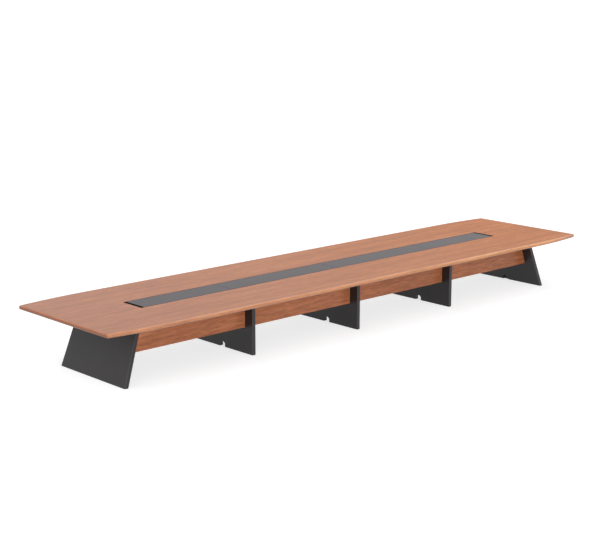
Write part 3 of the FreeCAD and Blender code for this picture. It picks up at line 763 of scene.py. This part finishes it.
@dataclass
class TableTop:
    """Boards of the top and the rim strip round them."""

    finishes: Finishes
    end: float = HALF_LENGTH
    side: float = 0.950
    surface: float = 0.750
    seam: float = 3.155
    curve_start: float = 3.198
    curve_radius: float = 6.350
    board_depth: float = 0.025
    rim_width: float = 0.030
    rim_depth: float = 0.050
    rim_round: float = 0.022
    corner_radius: float = 0.024
    corner_reach: float = 0.120
    opening: float = 0.184
    seam_arris: float = 0.0004
    rungs: int = 23
    spare: float = 0.1
    core_inset: float = 1.0
    outward_share: float = 0.2

    def build(self) -> None:
        """Make and dress every board and rim strip."""
        for side in Side:
            for bay in BAYS:
                self.side_board(side, bay)
            self.straight_rim(side)
        board, rim = self.end_blanks()
        self.shape_end_board(board)
        self.shape_end_rim(rim)
        for end in End:
            end_board = copy_of(board, f"end_board_{end.word}", turn=end.turn)
            self.dress_board(end_board, f"{end.word}_end_top_board")
            end_rim = copy_of(rim, f"end_rim_{end.word}", turn=end.turn)
            # Painted highlight on the rim's curved arms, painted shade on its end run
            deliver(end_rim, [self.finishes.rim, self.finishes.end_rim],
                    [f"{end.word}_end_edge_strip"], second=self.on_end_run)
        bpy.data.objects.remove(board)
        bpy.data.objects.remove(rim)

    def dress_board(self, board: Piece, node: str) -> None:
        """Dress a board in veneer, with a dark edge along the cable opening."""
        deliver(board, [self.finishes.top, self.finishes.lid_edge], [node],
                second=self.on_opening)

    def on_opening(self, face: Face) -> bool:
        """Whether a face of a board stands along the cable opening."""
        return is_wall(face) and abs(face.calc_center_median().y) < self.opening + NEAR_ENOUGH

    def on_end_run(self, face: Face) -> bool:
        """Whether a face of the end rim is nearer to the table's end than to its side."""
        centre = face.calc_center_median()
        return self.end - abs(centre.x) < self.half_width(abs(centre.x)) - abs(centre.y)

    def soften_seams(self) -> None:
        """Bevel the upper edges of the open mesh by a hair, so that a seam catches the light."""
        bevel(lambda edge: near(middle(edge).z, self.surface) and is_sharp(edge), self.seam_arris, segments=2)

    def side_board(self, side: Side, bay: int) -> None:
        """Make and dress the board along the opening in one bay.

        Args:
            side: side of the table.
            bay: number of the bay.
        """
        node = f"{side.word}_top_board_{bay}"
        board = block(f"side_board_{side.word}_{bay}", *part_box(node))
        self.soften_seams()
        self.dress_board(board, node)

    def straight_rim(self, side: Side) -> None:
        """Make and dress the rim strip along one side, a rounded length to each bay, as one piece.

        Args:
            side: side of the table.
        """
        outer = side.value * self.side
        inner = side.value * (self.side - self.rim_width)
        lengths = []
        for bay in BAYS:
            low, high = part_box(f"{side.word}_top_board_{bay}")
            strip = block(f"rim_length_{bay}", (low.x, min(outer, inner), self.surface - self.rim_depth),
                          (high.x, max(outer, inner), self.surface))
            bevel(lambda edge: near(middle(edge).y, outer) and not rises(edge)
                  and near(edge.verts[0].co.y, edge.verts[1].co.y), self.rim_round, segments=10)
            lengths.append(strip)
        rim = weld(f"rim_{side.word}", lengths)
        deliver(rim, [self.finishes.rim], [f"{side.word}_edge_strips"])

    def half_width(self, x: float) -> float:
        """Half the width of the top at a place along it."""
        past = max(x - self.curve_start, 0.0)
        return self.side - self.curve_radius + math.sqrt(self.curve_radius ** 2 - past ** 2)

    def end_blanks(self) -> tuple[Piece, Piece]:
        """Flat outlines of the right end: draw the curved-in plan, inset it and part it in two.

        Returns:
            The end board's outline and the rim's outline, still without thickness.
        """
        start = self.seam - self.spare
        rim = flat("end_rim_blank", start, self.end, self.side, self.surface)
        pick(Kind.EDGE, lambda edge: near(abs(middle(edge).y), self.side))
        bpy.ops.mesh.subdivide(number_cuts=self.rungs)
        step = (self.end - start) / (self.rungs + 1)
        for rung in range(1, self.rungs + 2):
            x = start + rung * step
            if x > self.curve_start:
                pick(Kind.VERT, lambda vert: near(vert.co.x, x))
                narrow = self.half_width(x) / self.side
                bpy.ops.transform.resize(value=(1, narrow, 1), center_override=(x, 0, self.surface))
        pick_all()
        bpy.ops.mesh.inset(thickness=self.rim_width, depth=0, use_boundary=True, use_even_offset=True)
        bpy.ops.mesh.separate(type="SELECTED")
        bpy.ops.object.mode_set(mode="OBJECT")
        board = [piece for piece in bpy.context.selected_objects if piece is not rim][0]
        return board, rim

    def thicken(self, outline: Piece, depth: float) -> None:
        """Cut an end outline off at its seam and give it its depth; its mesh stays open.

        Args:
            outline: the flat outline.
            depth: its depth.
        """
        open_mesh(outline)
        pick_all()
        bpy.ops.mesh.bisect(plane_co=(self.seam, 0, 0), plane_no=(1, 0, 0), clear_inner=True)
        pick_all()
        draw_out(0, 0, -depth)
        face_out()

    def shape_end_board(self, board: Piece) -> None:
        """Give the end board its thickness and its softened seam.

        Args:
            board: the flat outline of the board.
        """
        self.thicken(board, self.board_depth)
        for side in Side:
            pick_all()
            bpy.ops.mesh.bisect(plane_co=(0, side.value * self.opening, 0), plane_no=(0, 1, 0))
        self.soften_seams()

    def shape_end_rim(self, rim: Piece) -> None:
        """Give the end rim its depth, round its two corners in plan and then its whole outer face.

        Args:
            rim: the flat outline of the rim.
        """
        self.thicken(rim, self.rim_depth)
        slope = (self.end - self.curve_start) / (self.half_width(self.end) - self.side + self.curve_radius)
        angle = math.pi / 2 + math.atan(slope)
        bevel(lambda edge: rises(edge) and near(middle(edge).x, self.end),
              self.corner_radius / math.tan(angle / 2), segments=8)
        for level in (self.surface, self.surface - self.rim_depth):
            pick(Kind.FACE, lambda face: abs(face.normal.z) > FACE_ON
                 and near(face.calc_center_median().z, level)
                 and face.calc_center_median().x > self.end - self.corner_reach)
            bpy.ops.mesh.dissolve_faces()
        bevel(self.on_outer_face, self.rim_round, segments=10)

    def on_outer_face(self, edge: Edge) -> bool:
        """Whether an edge lies between the rim's outer wall and its top or underside.

        Args:
            edge: an edge of the end rim.

        Returns:
            True where it does.
        """
        if rises(edge) or len(edge.link_faces) != 2:
            return False
        outward = Vector((middle(edge).x - self.seam + self.core_inset, middle(edge).y, 0)).normalized()
        walls = [face.normal for face in edge.link_faces if is_wall(face)]
        return len(walls) == 1 and walls[0].dot(outward) > self.outward_share and walls[0].x > -FACE_ON


@dataclass
class PanelLegs:
    """Three upright panels and two leaning ones; recess, insert and stud are given as radius and height."""

    finishes: Finishes
    top: float = BOARD_UNDERSIDE
    width: float = 1.135
    arris: float = 0.005
    lean: float = LEG_LEAN
    notch_width: float = 0.095
    notch_height: float = 0.068
    notch_rise: float = 0.027
    blind_notch: float = 0.025
    way_width: float = 0.300
    way_depth: float = 0.085
    foot_inset: float = 0.120
    recess: Pair = (0.018, 0.0095)
    insert: Pair = (0.007, 0.025)
    stud: Pair = (0.0055, 0.018)
    edge_ease: float = 0.0008
    shortest_eased: float = 0.002
    speck: float = 0.00001

    def build(self) -> None:
        """Make and dress the five legs."""
        for name in UPRIGHT_LEGS:
            self.upright_leg(name)
        leg = self.leaning_leg()
        for end in End:
            self.dress(copy_of(leg, f"leg_{end.word}_end", turn=end.turn), f"{end.word}_end_leg")
        bpy.data.objects.remove(leg)

    def dress(self, leg: Piece, node: str) -> None:
        """Dress a leg in lacquer, with a lighter grey along its four long edges as a painted highlight."""
        deliver(leg, [self.finishes.leg, self.finishes.leg_arris], [node],
                second=self.on_arris)

    def on_arris(self, face: Face) -> bool:
        """Whether a face belongs to the rounding of an edge that runs from foot to top, where the painted
        highlight goes.
        """
        outer = abs(face.calc_center_median().y) > self.width / 2 - 2 * self.arris
        return outer and abs(face.normal.x) > EDGE_ON and abs(face.normal.y) > EDGE_ON

    def ease_cuts(self, leg: Piece) -> None:
        """Ease the sharp edges of the foot, the notch and the cable way.

        Args:
            leg: the leg with its cuts.
        """
        open_mesh(leg)
        bevel(lambda edge: is_sharp(edge) and middle(edge).z < self.top - NEAR_ENOUGH
              and edge.calc_length() > self.shortest_eased, self.edge_ease, segments=2, clamp=True)
        pick_all()
        bpy.ops.mesh.dissolve_degenerate(threshold=self.speck)

    def notch_cutter(self, x: float, start: float, end: float, tilt: float = 0.0) -> Piece:
        """Arched cutter for the cable notch in a leg's foot.

        Args:
            x: place of the leg's face, or of its middle, on the floor.
            start: first end of the cutter, from that place.
            end: last end of the cutter, from that place.
            tilt: angle that the cutter is turned by about that place.

        Returns:
            The cutter.
        """
        half = self.notch_width / 2
        radius = (half ** 2 + self.notch_rise ** 2) / (2 * self.notch_rise)
        low = (start, 0, self.notch_height - radius)
        arch = rod("notch_cutter", radius, low, end - start, sides=96, turn=(0, math.pi / 2, 0))
        for side in Side:
            pick_all()
            bpy.ops.mesh.bisect(plane_co=(0, side.value * half, 0), plane_no=(0, side.value, 0),
                                clear_outer=True, use_fill=True)
        take_up(arch)
        arch.rotation_euler = (0, tilt, 0)
        arch.location = (x, 0, 0)
        return settle("notch_cutter")

    def foot_cutters(self, x: float, edge: float) -> list[Piece]:
        """Stepped cutters for a leg's two feet, each with its recess, its insert and room for its stud.

        Args:
            x: place of the feet along the table.
            edge: distance of the leg's edges from the middle of the table.

        Returns:
            The cutters.
        """
        cutters = []
        for side in Side:
            y = side.value * (edge - self.foot_inset)
            wide, level = self.recess
            cutters.append(rod("foot_cutter", wide, (x, y, -level), 2 * level, sides=48))
            for radius, rise in (self.insert, self.stud):
                step_cap((x, y, level), wide - radius, rise)
                wide = radius
                level += rise
        return cutters

    def upright_leg(self, name: str) -> None:
        """Make and dress an upright panel with a cable way in its top, an arched notch and foot recesses.

        Args:
            name: name of the leg.
        """
        low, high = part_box(f"{name}_leg")
        leg = block(f"leg_{name}", low, high)
        bevel(rises, self.arris, segments=5)
        x = (low.x + high.x) / 2
        thick = high.x - low.x
        half_way = self.way_width / 2
        way = block("way_cutter", (low.x - thick, -half_way, self.top - self.way_depth),
                    (high.x + thick, half_way, self.top + thick))
        feet = self.foot_cutters(x, high.y)
        carve(leg, [way, self.notch_cutter(x, -thick, thick), *feet])
        self.ease_cuts(leg)
        self.dress(leg, f"{name}_leg")

    def leaning_leg(self) -> Piece:
        """Right end panel, leaning in and narrower at its top, with a notch in its inner face only.

        Returns:
            The panel, not yet dressed.
        """
        low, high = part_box("right_end_leg")
        shift = math.tan(self.lean) * self.top
        inner = low.x + shift
        leg = block("leaning_leg", (inner, low.y, low.z), high)
        pick(Kind.VERT, lambda vert: near(vert.co.z, self.top))
        bpy.ops.transform.translate(value=(-shift, 0, 0))
        narrow = self.width / (high.y - low.y)
        bpy.ops.transform.resize(value=(1, narrow, 1), center_override=(inner, 0, self.top))
        bevel(rises, self.arris, segments=5)
        feet = self.foot_cutters((inner + high.x) / 2, high.y)
        notch = self.notch_cutter(inner, -self.blind_notch, self.blind_notch, -self.lean)
        carve(leg, [notch, *feet])
        self.ease_cuts(leg)
        return leg


@dataclass
class Aprons:
    """Boards under the top from leg to leg; the outer ones end along a leaning leg."""

    finishes: Finishes
    top: float = BOARD_UNDERSIDE
    lean: float = LEG_LEAN
    arris: float = 0.0012

    def build(self) -> None:
        """Make and dress the eight aprons."""
        for side in Side:
            for bay in BAYS:
                self.apron(side, bay)

    def apron(self, side: Side, bay: int) -> None:
        """Make and dress one apron, with eased edges.

        Args:
            side: side of the table.
            bay: number of the bay.
        """
        node = f"{side.word}_apron_{bay}"
        low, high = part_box(node)
        board = block(f"apron_{side.word}_{bay}", low, high)
        end = OUTER_BAYS.get(bay)
        if end is not None:
            tip = high.x if end is End.RIGHT else low.x
            pick(Kind.VERT, lambda vert: near(vert.co.x, tip) and near(vert.co.z, self.top))
            lean_in = math.tan(self.lean) * (high.z - low.z)
            bpy.ops.transform.translate(value=(-end.value * lean_in, 0, 0))
        bevel(lambda edge: near(middle(edge).z, low.z) and not rises(edge), self.arris, segments=3)
        deliver(board, [self.finishes.apron], [node])


@dataclass
class CableChannel:
    """Lids over the opening, their rails and hinges, and the sheet-metal troughs below."""

    finishes: Finishes
    lid_round: float = 0.001
    lid_foot_ease: float = 0.0005
    band_limit: float = 0.5
    sheet: float = 0.002
    floor: float = 0.625
    flange_level: float = 0.723
    wall: float = 0.214
    flange: float = 0.244
    bend: float = 0.004
    slot: Pair = (0.120, 0.060)
    slot_round: float = 0.008
    slot_overcut: float = 0.008

    def build(self) -> None:
        """Make and dress the lids and troughs, and give the rails and hinges their finish."""
        for bay in BAYS:
            self.lid(bay)
            self.trough(bay)
            repaint(f"lid_hinge_leaves_{bay}", self.finishes.hinge_steel)
        repaint("fixed_hinge_leaves", self.finishes.hinge_steel)
        repaint("hinge_pins", self.finishes.pin_steel)
        repaint("lid_rest_rails", self.finishes.rail)

    def lid(self, bay: int) -> None:
        """Make and dress the lid of one bay: a laminate-faced board with banded edges.

        Args:
            bay: number of the bay.
        """
        node = f"cable_lid_{bay}"
        low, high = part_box(node)
        lid = block(f"lid_{bay}", low, high)
        bevel(lambda edge: near(middle(edge).z, high.z), self.lid_round, segments=3)
        bevel(lambda edge: near(middle(edge).z, low.z), self.lid_foot_ease, segments=2)
        deliver(lid, [self.finishes.lid, self.finishes.lid_edge], [node], f"lid_{bay}",
                second=lambda face: abs(face.normal.z) < self.band_limit)

    def trough(self, bay: int) -> None:
        """Make and dress the trough of one bay, folded up from a flat sheet.

        Args:
            bay: number of the bay; the outer ones also have an end wall.
        """
        node = f"cable_trough_{bay}"
        low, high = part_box(node)
        trough = flat(f"trough_{bay}", low.x, high.x, self.wall, self.floor)
        for side in Side:
            pick(Kind.EDGE, lambda edge: near(middle(edge).y, side.value * self.wall))
            draw_out(0, 0, self.flange_level - self.floor)
            draw_out(0, side.value * (self.flange - self.wall), 0)
        bevel(lambda edge: near(abs(middle(edge).y), self.wall) and not rises(edge), self.bend, segments=4)
        face_out()
        faces = bmesh.from_edit_mesh(trough.data).faces
        lowest = min(faces, key=lambda face: face.calc_center_median().z)
        if lowest.normal.z > 0:
            bpy.ops.mesh.flip_normals()
        modify(trough, "SOLIDIFY", thickness=self.sheet, offset=-1.0)
        carve(trough, [self.slot_cutter((low.x + high.x) / 2)])
        if bay in OUTER_BAYS:
            start = low.x if OUTER_BAYS[bay] is End.LEFT else high.x - self.sheet
            trough = weld(f"trough_{bay}", [trough, self.end_wall(start)])
        deliver(trough, [self.finishes.trough], [node])

    def end_wall(self, start: float) -> Piece:
        """Wall that closes the outer end of the first or the last trough.

        Args:
            start: lowest X of the wall.

        Returns:
            The wall.
        """
        inner = self.wall - self.sheet
        foot = self.floor + self.sheet
        wall = block("trough_end", (start, -inner, foot),
                     (start + self.sheet, inner, self.flange_level + self.sheet))
        bevel(lambda edge: rises(edge) or not near(middle(edge).z, foot), self.sheet / 6, segments=2)
        return wall

    def slot_cutter(self, x: float) -> Piece:
        """Round-cornered cutter for the drop slot in a trough's floor.

        Args:
            x: place of the slot along the table.

        Returns:
            The cutter.
        """
        half_x, half_y = self.slot[0] / 2, self.slot[1] / 2
        cutter = block("slot_cutter", (x - half_x, -half_y, self.floor - self.slot_overcut),
                       (x + half_x, half_y, self.floor + self.slot_overcut))
        bevel(rises, self.slot_round, segments=6)
        return cutter


@dataclass
class LevellingFeet:
    """Ten screw-in feet: a steel cup on a soft sole, with a threaded stud."""

    finishes: Finishes
    pad_radius: float = 0.016
    pad_height: float = 0.009
    sole_height: float = 0.003
    floor_gap: float = 0.0005
    cup_inset: float = 0.0006
    cup_round: float = 0.0022
    stud_radius: float = 0.005
    stud_length: float = 0.040
    pitch: float = 0.0015
    thread_depth: float = 0.0008

    def build(self) -> None:
        """Model one foot, then copy and dress it for every foot of the table."""
        master = self.foot()
        for leg in ("left_end", *UPRIGHT_LEGS, "right_end"):
            for side in Side:
                node = f"{leg}_foot_{side.word}"
                low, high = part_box(node)
                spot = ((low.x + high.x) / 2, (low.y + high.y) / 2, 0.0)
                copy = copy_of(master, f"levelling_{node}", spot)
                deliver(copy, [self.finishes.stud_steel, self.finishes.sole], [node], node,
                        second=self.on_sole)
        bpy.data.objects.remove(master)
        repaint("foot_inserts", self.finishes.stud_steel)

    def on_sole(self, face: Face) -> bool:
        """Whether a face belongs to the sole."""
        return face.calc_center_median().z < self.floor_gap + self.sole_height

    def foot(self) -> Piece:
        """One foot on the Z axis: sole, cup and a stud whose thread is drawn in ring by ring.

        Returns:
            The foot, not yet dressed.
        """
        foot = rod("foot_master", self.pad_radius, (0, 0, self.floor_gap), self.sole_height, sides=40)
        sole = self.floor_gap + self.sole_height
        cup = self.floor_gap + self.pad_height
        step_cap((0, 0, sole), self.cup_inset, cup - sole)
        step_cap((0, 0, cup), self.pad_radius - self.cup_inset - self.stud_radius, 0.0)
        turns = int(self.stud_length / self.pitch * 2)
        step = self.stud_length / turns
        narrow = 1 - self.thread_depth / self.stud_radius
        level = cup
        for turn in range(turns):
            step_cap((0, 0, level), 0.0, step)
            level += step
            size = 1 / narrow if turn % 2 else narrow
            bpy.ops.transform.resize(value=(size, size, 1), center_override=(0, 0, level))
        bevel(lambda edge: near(middle(edge).z, self.floor_gap) and is_sharp(edge), self.sole_height / 4,
              segments=2)
        bevel(lambda edge: near(middle(edge).z, cup) and is_sharp(edge)
              and middle(edge).xy.length > 2 * self.stud_radius, self.cup_round, segments=4)
        return foot


@dataclass
class Fixings:
    """Brackets, plates, screws and dowels, whose CAD shapes are kept."""

    finishes: Finishes

    def build(self) -> None:
        """Give the fixings their finish."""
        for node in ("angle_brackets", "seam_plates", "wood_screws"):
            repaint(node, self.finishes.steel)
        repaint("wood_dowels", self.finishes.dowel)


# The studio

@dataclass(frozen=True)
class Lamp:
    """Broad, far lamp that shines straight down unless it is turned; angles in degrees."""

    name: str
    strength: float
    width: float
    aim: Point
    diffuse: bool = True
    glossy: bool = True

    def build(self) -> None:
        """Hang the lamp."""
        data = bpy.data.lights.new(self.name, "SUN")
        data.energy = self.strength
        data.angle = math.radians(self.width)
        lamp = bpy.data.objects.new(self.name, data)
        lamp.rotation_euler = [math.radians(angle) for angle in self.aim]
        lamp.visible_diffuse = self.diffuse
        lamp.visible_glossy = self.glossy
        bpy.context.scene.collection.objects.link(lamp)


LAMPS = (
    Lamp("overhead", 1.45, 90.0, (8.0, -22.0, 0.0)),
    Lamp("fill", 2.0, 24.0, (80.8, 0.0, -12.0), glossy=False),
    Lamp("back_fill", 1.2, 24.0, (80.8, 0.0, 180.0), glossy=False),
    Lamp("glint_1", 0.7, 40.0, (45.0, 0.0, 72.0), diffuse=False),
    Lamp("glint_2", 0.7, 40.0, (45.0, 0.0, 198.0), diffuse=False),
)


@dataclass
class Studio:
    """Camera, soft light and a plain pale floor; angles in degrees."""

    lens: float = 85.42
    sensor: float = 36.0
    stand: Point = (-12.4353, -12.8629, 4.6684)
    aim: Point = (77.337, 0.0, -42.663)
    sky: float = 0.34
    floor_reach: float = 200.0
    floor_drop: float = 0.0005
    floor_tone: Colour = (0.3, 0.3, 0.3)
    floor_glow: float = 0.68
    floor_shade: Colour = (0.55, 0.575, 0.585)

    def build(self) -> None:
        """Set up all that is not part of the table."""
        self.camera()
        self.world()
        for lamp in LAMPS:
            lamp.build()
        self.floor()
        bpy.context.scene.view_settings.view_transform = "Standard"
        LOG.info("studio: camera, world, lamps and floor")

    def camera(self) -> None:
        """Camera where the photograph was taken from."""
        data = bpy.data.cameras.new("photo_camera")
        data.lens = self.lens
        data.sensor_width = self.sensor
        camera = bpy.data.objects.new("photo_camera", data)
        camera.location = self.stand
        camera.rotation_euler = [math.radians(angle) for angle in self.aim]
        bpy.context.scene.collection.objects.link(camera)
        bpy.context.scene.camera = camera

    @staticmethod
    def seen(tree: Tree) -> Socket:
        """Value that is 1 for what the camera or a reflection sees, and else 0."""
        rays = add_node(tree, "LightPath").outputs
        return combined(tree, "Math", "MAXIMUM", [rays["Is Camera Ray"], rays["Is Glossy Ray"]])

    def world(self) -> None:
        """White surroundings that light the table at a plain level."""
        world = bpy.data.worlds.new("white_room")
        world.use_nodes = True
        tree = world.node_tree
        background = tree.nodes["Background"]
        background.inputs["Color"].default_value = (*EVEN, 1)
        level = add_node(tree, "MapRange", Value=self.seen(tree), To_Min=self.sky, To_Max=1.0)
        tree.links.new(level.outputs["Result"], background.inputs["Strength"])
        bpy.context.scene.world = world

    def floor(self) -> None:
        """Floor that looks white, keeps the table's shadow and sends back light as pale paint does."""
        floor = flat("studio_floor", -self.floor_reach, self.floor_reach, self.floor_reach, -self.floor_drop)
        lay_down()
        material = bpy.data.materials.new("pale_floor")
        material.use_nodes = True
        tree = material.node_tree
        tree.nodes.remove(tree.nodes["Principled BSDF"])
        paint = add_node(tree, "BsdfDiffuse", Color=(*self.floor_tone, 1))
        shade = add_node(tree, "BsdfDiffuse", Color=(*self.floor_shade, 1))
        glow = add_node(tree, "Emission", Strength=self.floor_glow)
        both = add_node(tree, "AddShader")
        tree.links.new(shade.outputs[0], both.inputs[0])
        tree.links.new(glow.outputs[0], both.inputs[1])
        choice = add_node(tree, "MixShader")
        for number, source in enumerate((self.seen(tree), paint.outputs[0], both.outputs[0])):
            tree.links.new(source, choice.inputs[number])
        tree.links.new(choice.outputs[0], tree.nodes["Material Output"].inputs["Surface"])
        floor.data.materials.append(material)


def main() -> None:
    """Build every sub-assembly and the studio."""
    logging.basicConfig(level=logging.INFO, format="%(name)s %(message)s")
    finishes = Finishes()
    for assembly in (TableTop, PanelLegs, Aprons, CableChannel, LevellingFeet, Fixings):
        assembly(finishes).build()
    Studio().build()


if __name__ == "__main__":
    main()
